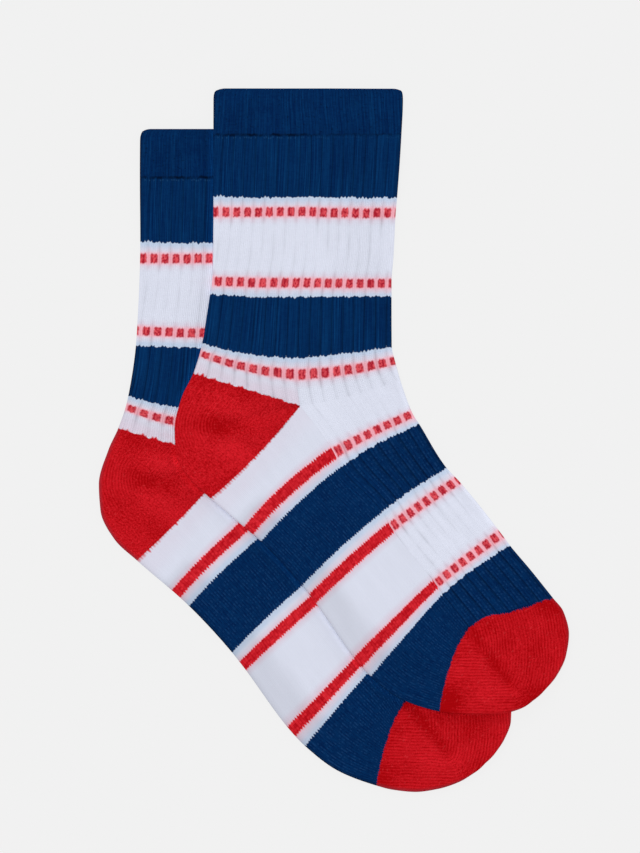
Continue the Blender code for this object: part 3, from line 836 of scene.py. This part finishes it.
def heel_top_teeth(s, wales, ankle):
    """The teeth of the heel's upper edge, which reaches further up on each rib."""
    ribs = wales / WALES_PER_RIB
    return Knit(s, ribs * WALES_ON_RIB, ankle, *HEEL_TOP_TEETH).teeth - rib_wave(s, ribs, 0.12) * 0.21


def toe_edge_shift(s, wales):
    """How far the toe's edge is moved towards the tip."""
    ribs = wales / WALES_PER_RIB
    wave = rib_wave(s, ribs, 0.0) * s.above(ribs, SIDE_RIB) * 0.12
    return sum([s.ease(ribs, start, end) * shift for start, end, shift in TOE_EDGE_SWAY], wave)


class Stripes:
    """Where a place on a leg or a foot is: its ribs, its grooves, its lines and bands, and its knit."""

    def __init__(self, s, lay, part):
        self.s, self.lay, self.part, self.on_leg = s, lay, part, part == "leg"
        self.wales, self.depth = s.uv("knit")
        self.ribs = self.wales / WALES_PER_RIB
        self.right = s.ease(self.ribs, 9.0, 13.0)
        self.from_sole = abs(self.ribs - BACK_RIB)
        self.sole_half = s.above(SIDE_RIB - BACK_RIB, self.from_sole)
        self.plain = 0.0 if self.on_leg else self.sole_half
        self.ribbed = 1.0 - self.plain
        self.to_line = s.nearest(self.depth, line_depths(lay, part))
        self.to_band = s.nearest(self.depth, band_depths(lay, part))
        self.set_knit()
        self.set_grooves()
        self.set_shade()

    def past(self, name, start, end, depth=None):
        """From 0 to 1 between two distances past a line."""
        mark = self.lay.depth(name)
        return self.s.ease(self.depth if depth is None else depth, mark + start, mark + end)

    def set_knit(self):
        """The stitches, which are fewer and more uneven on the ribs, and the yarn's lightness."""
        teeth = PLAIN_TEETH + self.ribbed * (RIB_TEETH - PLAIN_TEETH)
        uneven = PLAIN_UNEVEN + self.ribbed * (RIB_UNEVEN - PLAIN_UNEVEN)
        shown = self.wales * (1.0 + self.ribbed * (WALES_ON_RIB / WALES_PER_RIB - 1.0))
        self.knit = Knit(self.s, shown, self.depth, teeth, uneven)
        self.even = Knit(self.s, self.wales, self.depth)
        # Each colour starts and ends a little later on the ribs than in the grooves
        self.toothed = self.depth + self.knit.teeth + rib_wave(self.s, self.ribs, 0.04) * self.ribbed * 0.20
        self.between, self.stitch = self.knit.between(), self.knit.by_stitch()
        self.streak, self.fine = self.even.streaks(22.0, 1.0), self.even.streaks(5.0, 9.0)
        self.patch = self.even.cloud(0.04, 0.03, 5.0, 2.0)

    def set_grooves(self):
        """The ribs' grooves, which wander a little, and their painted shade, which comes and goes in the
        white.
        """
        s, ribs = self.s, self.ribs
        rib = s.math("ROUND", ribs)
        shift = (s.noise(s.join(rib * 3.7, self.depth * 0.09, 3.0), detail=1.0) - 0.5) * 0.10
        self.from_middle = abs(s.fract(ribs) - 0.5)
        self.groove = s.ease(self.from_middle + shift, 0.20, 0.5) * self.ribbed
        self.groove_line = s.ease(self.from_middle + shift, 0.38, 0.5) * self.ribbed
        # The side of each rib that leans into a groove, away from the light, where the navy gets painted
        # shade
        before, after = (0.74, 0.13) if self.on_leg else (0.66, 0.16)
        in_rib = s.fract(ribs + shift)
        self.lee_shade = s.highest(s.ease(in_rib, before, 1.0), s.ease(in_rib, after, 0.0)) * self.ribbed
        self.patchy = s.ease(s.noise(s.join(rib * 3.7, self.depth * 0.06, 7.0), detail=2.0), 0.36, 0.64)
        near_edge = s.ease(s.lowest([self.to_line, self.to_band]), 8.0, 2.0)
        beside = near_edge * (0.35 + s.scatter(rib, 3.0) * 0.85)
        if self.on_leg:
            strength = self.patchy * (0.55 + self.right * 0.25) + beside * 0.75
            self.strength = strength + self.past("line_3", -3.0, 3.0) * 0.70
        else:
            strength = self.patchy * (0.40 + s.ease(ribs, 13.0, 10.0) * 0.60) + beside * 0.75
            smoothed = self.past("ankle", 1.0, 7.0) * self.past("line_4", -1.0, -5.0)
            self.strength = strength * (1.0 - smoothed * 0.75)

    def set_shade(self):
        """The white's soft painted shade beside the bands, over the heel and along the sole's fold."""
        s, ribs = self.s, self.ribs
        self.shade = s.ease(self.to_band, 4.6, 1.0) * s.ease(ribs, 12.0, 6.0) * -0.03
        if self.on_leg:
            self.shade += self.past("band_2_end", -2.0, 3.0) * s.ease(ribs, 13.0, 7.0) * -0.04
        else:
            self.shade += s.ease(self.from_sole, 3.0, 1.4) * self.past("line_4", -11.0, -4.0) * -0.12

    def navy(self):
        """1 in the navy bands and 0 in the white."""
        navy, later = 0.0, self.toothed + self.ribbed * 0.20
        for start, end in BANDS[self.part]:
            begins = 1.0 if start == "welt_end" else self.past(start, -0.15, 0.35, self.toothed)
            ends = 0.0 if end == "toe_edge" else self.past(end, -0.25, 0.25, later)
            navy += begins - ends
        return navy


def navy_cloth(cloth):
    """Navy yarn, lighter and darker along its wales, with painted shade in the grooves and between wales.
    """
    s, knit, even = cloth.s, cloth.knit, cloth.even
    if cloth.on_leg:
        long, threads = even.streaks(60.0, 33.0, 2.4), even.streaks(24.0, 35.0, 2.4)
        thin = s.ease(even.cloud(2.0, 0.03, 17.0, 1.0), 0.05, 0.20)
        texture = cloth.streak * 0.35 + long * 1.1 + threads * 0.9 + cloth.fine * 0.25 + thin * 0.4
        texture += cloth.stitch * 0.12
        dark = 0.14 + cloth.patchy * 0.09
        dark += cloth.past("band_2", -2.0, 2.0) * (0.04 + s.ease(cloth.ribs, 7.0, 11.0) * 0.10)
        flecks, gap_shade = 0.0, 0.14
    else:
        grain = even.cloud(1.5, 0.42, 37.0, 1.0)
        reach = s.floor(cloth.depth * 1.4 + s.scatter(knit.wale, 6.0) * 5.0)
        gloom = s.ease(s.scatter(reach, knit.wale), 0.45, 0.15) * s.ease(knit.off_centre, 0.2, 0.45)
        texture = cloth.streak * 0.4 + cloth.fine * 0.4 + grain * 0.5 + gloom * -0.34 - 0.03
        dark = 0.24 + cloth.patchy * 0.12
        flecks = s.ease(s.scatter(knit.wale, reach), 0.45, 0.95) * s.ease(knit.off_centre, 0.34, 0.04)
        gap_shade = 0.08
    colour = s.mix(s.clamp(0.28 + texture), NAVY, NAVY_LIGHT)
    colour = s.mix(flecks * 0.36, colour, NAVY_FLECK)
    # Painted shade between the wales and on each rib's side away from the light, with the yarn's own
    # patches
    light = 1.02 - cloth.between * gap_shade + cloth.patch * 0.3 - cloth.lee_shade * dark
    return painted_fold_shade(s, s.scale(colour, light), cloth.wales)


def white_painted_shading_and_tone(cloth):
    """How light the white is, with its painted light and shade and its own unevenness."""
    s, right, patchy = cloth.s, cloth.right, cloth.patchy
    # Painted light at the fold on the instep's side, and painted shade at the sole's fold
    fold_light_and_shade = rim_amount(s, 3.0) * right * 0.14 - rim_amount(s, 4.0) * s.ease(cloth.wales, 35.0, 10.0) * 0.05
    # Painted shade in the grooves, strongest near the lines and the bands
    line_dark = (0.3 + patchy) * (0.045 if cloth.on_leg else 0.075)
    grooves = (cloth.groove * 0.085 + cloth.groove_line * line_dark) * cloth.strength
    uneven = cloth.streak * (0.06 - cloth.plain * 0.04) + cloth.stitch * cloth.ribbed * 0.02
    uneven += cloth.even.cloud(0.33, 0.06, 13.0, 1.5) * (0.06 + right * 0.06) + cloth.patch * 0.05
    base = 0.985 if cloth.on_leg else 0.965 - cloth.plain * 0.045
    return base + fold_light_and_shade - grooves - cloth.between * 0.012 + cloth.shade + uneven


def white_cloth(cloth, light):
    """White yarn, tinted by loose fibres of the navy and the red next to it, and pink round the dashes."""
    s = cloth.s
    tint = cloth.even.cloud(0.22, 0.22, 19.0, 1.0) + 1.05
    colour = s.mix(s.ease(cloth.to_band, 4.6, 0.3) * tint, WHITE, COOL)
    in_gap = 1.0 - s.ease(cloth.from_middle, 0.45, 0.15) * cloth.ribbed * 0.5
    from_heel = abs(cloth.depth - cloth.lay.depth("ankle"))
    by_heel = s.ease(from_heel, 12.0, 0.0) * cloth.sole_half * (0.8 if cloth.on_leg else 0.3)
    blush = s.highest(s.ease(cloth.to_line, 6.3, 2.8) * in_gap, by_heel)
    past_lines = [cloth.lay.depth(name) + 2.6 for name in PINK_LINES[cloth.part]]
    blush += s.ease(s.nearest(cloth.depth, past_lines), 2.6, 0.6) * cloth.right * 0.6
    colour = s.scale(s.mix(s.clamp(blush * tint * 0.8), colour, BLUSH), light)
    return s.mix(s.ease(cloth.to_line, 3.7, 1.3) * cloth.ribbed, colour, s.scale(PINK, light))


def dashes(cloth):
    """Where the red lines show on the ribs, as a dash on each, and the mottled red of the dashes."""
    s, wales = cloth.s, cloth.wales
    course = s.floor(cloth.toothed / COURSE)
    to_line = s.nearest(cloth.depth + cloth.knit.teeth * 0.7, line_depths(cloth.lay, cloth.part))
    ragged = (s.scatter(course, s.floor(cloth.ribs)) - 0.5) * 0.05
    off_dash = abs(s.fract(cloth.ribs) - 0.48) + ragged + s.ease(to_line, 1.2, 2.3) * 0.05
    share = s.ease(to_line, 2.60, 1.60) * s.ease(off_dash, 0.42, 0.235) * cloth.ribbed
    stroke = s.scatter(s.floor(wales * 1.3), 8.0) * 0.70
    mottle = (s.scatter(s.floor(wales * 1.6), course) - 0.5) * 1.20
    # Painted light on the crown of each rib
    crown = s.ease(cloth.from_middle, 0.25, 0.05) * 0.25
    spots = s.clamp(stroke + mottle + crown - s.ease(to_line, 0.9, 2.0) * 0.30 - 0.03)
    # The white's painted shade darkens the dashes too
    return share, s.scale(s.mix(spots, DASH_RED, DASH_LIGHT), 1.0 + cloth.shade * 1.5)


def solid_lines(cloth):
    """Where the red lines show on the plain sole, where they tint the white, and their colour."""
    s, place = cloth.s, cloth.depth + cloth.knit.teeth
    past = s.lowest([abs(place - cloth.lay.depth(name)) - half for name, half in SOLID_LINES])
    solid = s.ease(past, 0.30, -0.30) * cloth.plain
    fringe = s.ease(past, 1.1, 0.0) * cloth.plain * 0.75
    shade = 0.44 + cloth.fine + cloth.stitch * 0.5 + cloth.patch * 0.5 - cloth.between * 0.30
    return solid, fringe, s.mix(s.clamp(shade), LINE_DARK, LINE_LIGHT)


def pocket_edges(cloth):
    """Where the red of the heel and the toe reaches in over a striped part."""
    s, wales, lay = cloth.s, cloth.wales, cloth.lay
    ankle, toe_edge = lay.depth("ankle"), lay.depth("toe_edge")
    past_ankle, past_toe_edge = cloth.depth - ankle, cloth.depth - toe_edge
    if cloth.on_leg:
        return s.ease(past_ankle + heel_top_teeth(s, wales, ankle), -0.25, 0.25) * cloth.sole_half
    heel = s.ease(past_ankle + Knit(s, wales, ankle, *HEEL_FOOT_TEETH).teeth, 0.25, -0.25)
    into_toe = past_toe_edge + Knit(s, wales, toe_edge, *TOE_TEETH).teeth - toe_edge_shift(s, wales)
    return heel * cloth.plain + s.ease(into_toe, -0.2, 0.2)


def striped_material(s, lay, part, lower):
    """The ribbed cloth of a leg or a foot, with its navy bands and red lines."""
    cloth = Stripes(s, lay, part)
    navy, light = cloth.navy(), white_painted_shading_and_tone(cloth)
    white = white_cloth(cloth, light)
    dash, dash_colour = dashes(cloth)
    if part == "foot":
        solid, fringe, line_colour = solid_lines(cloth)
        white = s.mix(fringe, white, s.scale(PINK, light))
    colour = s.mix(navy, painted_light_by_top_sock(s, white, lower, 0.26), painted_light_by_top_sock(s, navy_cloth(cloth), lower, 0.85))
    colour = s.mix(dash, colour, painted_light_by_top_sock(s, dash_colour, lower, 0.45))
    if part == "foot":
        colour = s.mix(solid, colour, painted_light_by_top_sock(s, line_colour, lower, 0.5))
    colour = s.mix(s.clamp(pocket_edges(cloth)), colour, RED)
    stitches = cloth.knit.stitches()
    if part == "foot":
        worn_smooth = (1.0 - navy) * (cloth.plain * 0.35 + 0.40)
        stitches = stitches * (1.0 - worn_smooth)
    else:
        colour = welt_line(s, cloth.even, colour, cloth.depth - lay.depth("welt_end"))
    return s.finish(colour, stitches - cloth.groove * (0.20 + navy * 0.20), STITCH_RELIEF)


def welt_line(s, knit, colour, below):
    """The dark line where the turned cuff is caught down, with a row of light loops under it."""
    waved = below + (s.noise(s.join(knit.wales * 0.30, 0.0, 2.0), detail=2.0) - 0.5) * 2.4
    broken = s.ease(s.noise(s.join(knit.wales * 0.15, 0.0, 4.0), detail=2.0), 0.36, 0.62)
    back = s.ease(knit.wales, 60.0, 30.0)
    line = s.ease(abs(waved), 0.75 + back * 0.25, 0.1)
    colour = s.scale(colour, 1.0 - line * (0.15 + broken) * (0.8 + back) * 0.40)
    loops = s.ease(abs(waved - 1.25), 0.55, 0.1) * s.ease(knit.off_centre, 0.4, 0.1)
    some = s.above(s.scatter(knit.wale, 5.0), 0.45)
    return s.mix(loops * some * (0.04 + back * 0.10), colour, LOOP_BLUE)


def welt_material(s, lay, lower):
    """The plain navy cloth of the turned cuff."""
    wales, depth = s.uv("knit")
    knit, even = Knit(s, wales * (WALES_IN_WELT / WALES_PER_RIB), depth), Knit(s, wales, depth)
    thin = s.ease(even.cloud(2.1, 0.045, 21.0, 1.0), 0.10, 0.22)
    amount = 0.20 + knit.streaks(30.0, 11.0, 3.2) + knit.streaks(6.0, 15.0, 2.0) * 0.5
    amount += thin * 0.3 + knit.by_stitch() * 0.15
    colour = s.mix(s.clamp(amount), NAVY, NAVY_LIGHT)
    specks = s.ease(even.cloud(0.8, 0.9, 31.0), -0.20, -0.28)
    light = 1.03 - knit.between() * 0.24 + even.cloud(0.05, 0.06, 25.0, 2.0) * 0.25 - specks * 0.35
    colour = painted_light_by_top_sock(s, painted_fold_shade(s, s.scale(colour, light), wales), lower, 0.85)
    colour = welt_line(s, even, colour, depth - lay.depth("welt_end"))
    return s.finish(colour, knit.stitches(), WELT_RELIEF)


def soft_place(s, place, gore, shade):
    """1 in the middle of a shade's place, down to 0 at its edge."""
    x, y = s.split(place)
    right, up = x / MM - (gore.end_x + shade.right), y / MM - (gore.end_y + shade.up)
    way_x, way_y = math.cos(math.radians(shade.turn)), math.sin(math.radians(shade.turn))
    along = right * (way_x / shade.length) + up * (way_y / shade.length)
    over_it = up * (way_x / shade.width) - right * (way_y / shade.width)
    return s.ease(s.math("SQRT", along * along + over_it * over_it), 1.0, 0.0)


def pocket_shade(s, part, place, gore):
    """What the painted shade and light of a heel or a toe add, in its places and along its gore and edge.
    """
    wales, upper = s.uv("knit")
    places = sum([soft_place(s, place, gore, shade) * shade.change for shade in SHADES[part]], 0.0)
    if part == "heel":
        return places - s.ease(upper, 8.0, 1.0) * s.ease(wales, 34.0, 22.0) * 0.16
    rim, to_gore = s.uv("rim")[0], s.uv("edge")[1]
    by_fold = 0.12 + s.ease(rim, 16.0, 4.0) * 0.34
    at_back = s.ease(wales, 48.0, 36.0) * 0.08
    return places - 0.05 - s.ease(to_gore, 4.5, 0.0) * 0.26 + at_back - s.ease(upper, 11.0, 0.5) * by_fold


def pocket_material(s, lay, part, lower, gore):
    """The plain red cloth of a heel or a toe, ringed by its wales, painted lighter where they catch the
    light.
    """
    edge_wales, upper = s.uv("knit")
    to_turn, along = s.uv("pocket")
    place = s.node("ShaderNodeTexCoord", output="Object")
    drift, patch = s.noise(place, 110.0, 2.0, 0.5), s.noise(place, 60.0, 2.0, 0.5)
    wales = to_turn / POCKET_WALE + ((drift - 0.5) * 1.1 + (patch - 0.5) * 1.2)
    knit = Knit(s, wales, along)
    clear = s.ease(s.uv("clear")[0], 0.2, 0.95) * (0.5 + s.ease(drift, 0.62, 0.38) * 0.5)
    # The knit's own wale rows, painted lighter and darker most where they catch the light
    ring = s.math("COSINE", wales * (2 * math.pi)) * (0.07 + clear * 0.13)
    streak = knit.streaks(7.0, 1.0, 1.5) * (0.25 + clear * 0.45) + knit.streaks(1.6, 6.0, 1.5) * 0.6
    grain = (s.noise(place, 1500.0, 0.0, 0.5) - 0.5) * (1.25 - clear * 0.75)
    # Painted light and shade, with the yarn's own streaks, grain and patches, between RED_DARK and
    # RED_LIGHT
    light = 0.42 + ring + streak + grain + (patch - 0.5) * 0.7 + pocket_shade(s, part, place, gore)
    colour = s.mix(s.clamp(light), RED_DARK, RED_LIGHT)
    specks = s.ease(knit.cloud(0.9, 1.1, 41.0), 0.20, 0.28)
    colour = s.mix(specks * 0.2, colour, SPECK_RED)
    # Painted shade at the folds, in a darker red, weaker towards the front fold
    fold_shade_share = 0.75 - s.ease(edge_wales, 45.0, 65.0) * 0.42
    colour = painted_light_by_top_sock(s, s.mix(rim_amount(s, 2.2) * fold_shade_share, colour, FOLD_SHADE_RED), lower, 0.50)
    # White or navy stitches reach in over the pocket's edges
    if part == "heel":
        ankle, below = lay.depth("ankle"), s.uv("edge")[0]
        from_leg = s.ease(upper + heel_top_teeth(s, edge_wales, ankle), 0.25, -0.25)
        from_foot = s.ease(below - Knit(s, edge_wales, ankle, *HEEL_FOOT_TEETH).teeth, 0.25, -0.25)
        colour = s.mix(s.highest(from_leg, from_foot), colour, WHITE)
    else:
        teeth = Knit(s, edge_wales, lay.depth("toe_edge"), *TOE_TEETH).teeth
        colour = s.mix(s.ease(upper + teeth - toe_edge_shift(s, edge_wales), 0.2, -0.2), colour, NAVY)
    return s.finish(colour, knit.stitches(), STITCH_RELIEF)


def cotton(sock, part, lay, gores):
    """The material of one part of a sock."""
    s, lower = Shader(f"{sock}_{part}_cotton"), sock == "back"
    if part == "welt":
        return welt_material(s, lay, lower)
    if part in gores:
        return pocket_material(s, lay, part, lower, gores[part])
    return striped_material(s, lay, part, lower)


# ---- The scene ----


def dress(sock, lay, rest, gores, uneven):
    """Makes one sock's five pieces, gives each its material, attaches it to the root and hides its CAD
    part.
    """
    pieces = {
        "welt": welt_part(sock, lay, rest, uneven),
        "leg": tube_part(sock, lay, rest, "leg", "welt_end", "ankle", uneven),
        "heel": pocket_part(sock, lay, rest, "heel", gores["heel"], uneven),
        "foot": tube_part(sock, lay, rest, "foot", "heel_end", "toe_edge", uneven),
        "toe": pocket_part(sock, lay, rest, "toe", gores["toe"], uneven),
    }
    for name, piece in pieces.items():
        piece.data.materials.append(cotton(sock, name, lay, gores))
        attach(piece, "root")
        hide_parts(f"{sock}_{name}")
        cut = CUTS[name]
        cut.width * MM
        cut.area * MM * MM


def set_camera():
    """A long lens straight above the middle of the picture."""
    picture_height, middle, top = 385.6 * MM, (-6.3 * MM, 6.3 * MM), 6.0 * MM
    data = bpy.data.cameras.new("camera")
    data.lens, data.sensor_width, data.clip_end = 200.0, 36.0, 10.0
    camera = add_object("camera", data)
    camera.location = (*middle, top + picture_height * data.lens / data.sensor_width)
    bpy.context.scene.camera = camera


def set_floor():
    """A pale floor that glows, so that it shows next to no shadow."""
    mesh = bpy.data.meshes.new("floor")
    half = 3.0
    square = [(-half, -half, 0), (half, -half, 0), (half, half, 0), (-half, half, 0)]
    mesh.from_pydata(square, [], [(0, 1, 2, 3)])
    floor = add_object("floor", mesh)
    floor.location = (0.0, 0.0, -0.02 * MM)
    s = Shader("pale_floor")
    looks = {
        "Base Color": (0.04, 0.04, 0.04, 1.0),
        "Roughness": 0.9,
        "Specular IOR Level": 0.0,
        "Emission Color": (0.836, 0.836, 0.836, 1.0),
        "Emission Strength": 1.0,
    }
    for key, value in looks.items():
        s.put(s.surface.inputs[key], value)
    mesh.materials.append(s.material)


def set_lights():
    """An even white sky, and a broad and soft sun."""
    world = bpy.data.worlds.new("studio")
    world.use_nodes = True
    background = world.node_tree.nodes["Background"]
    background.inputs["Color"].default_value = (1.0, 1.0, 1.0, 1.0)
    background.inputs["Strength"].default_value = 0.89
    bpy.context.scene.world = world
    data = bpy.data.lights.new("soft_key", "SUN")
    data.energy = 0.95
    data.angle = math.radians(40.0)
    key = add_object("soft_key", data)
    key.rotation_euler = (math.radians(-38.0), math.radians(-30.0), 0.0)


def main():
    """Sets the scene and lays the two socks in it."""
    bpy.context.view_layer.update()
    set_camera()
    set_lights()
    set_floor()
    back, front = Lay(BACK_SOCK), Lay(FRONT_SOCK)
    dress("back", back, Rest(flat, front.fold), BACK_GORES, BACK_UNEVEN)
    dress("front", front, Rest(over, back.fold), FRONT_GORES, FRONT_UNEVEN)
    bpy.context.scene.view_settings.view_transform = "Standard"


main()
